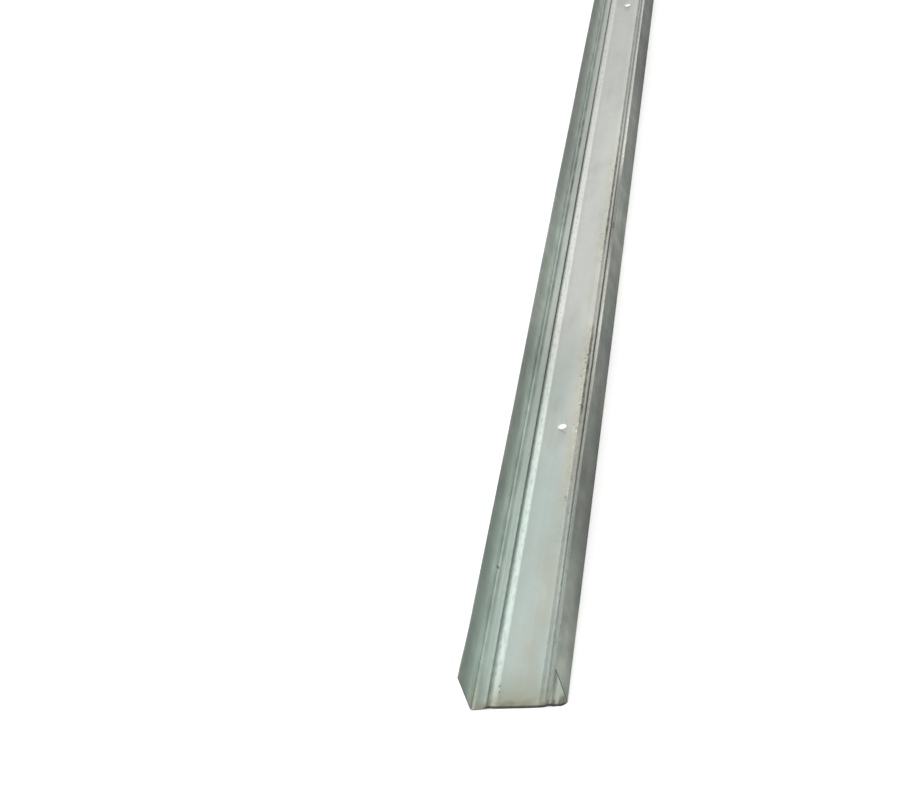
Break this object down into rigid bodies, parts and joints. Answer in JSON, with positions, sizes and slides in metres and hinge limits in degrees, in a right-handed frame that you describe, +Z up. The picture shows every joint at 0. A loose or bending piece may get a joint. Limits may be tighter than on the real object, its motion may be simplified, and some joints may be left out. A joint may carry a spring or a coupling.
{
  "type": "drywall track",
  "caption": "Straight U channel of thin galvanised steel with rolled web ribs and punched fixing holes; holds the ends of wall studs along a floor or ceiling.",
  "frame": {"origin": "middle of the web's underside, halfway along the track", "axes": "+Y along the track away from the end that is nearest the first hole, +Z up out of the open side, +X across to the right flange"},
  "size_m": [0.0762, 3, 0.0356],
  "materials": {
    "galvanised_steel": "hot-dip zinc coating, satin, greenish grey with stains"
  },
  "bodies": {
    "root": {"drywall_track": "galvanised_steel"}
  },
  "joints": []
}
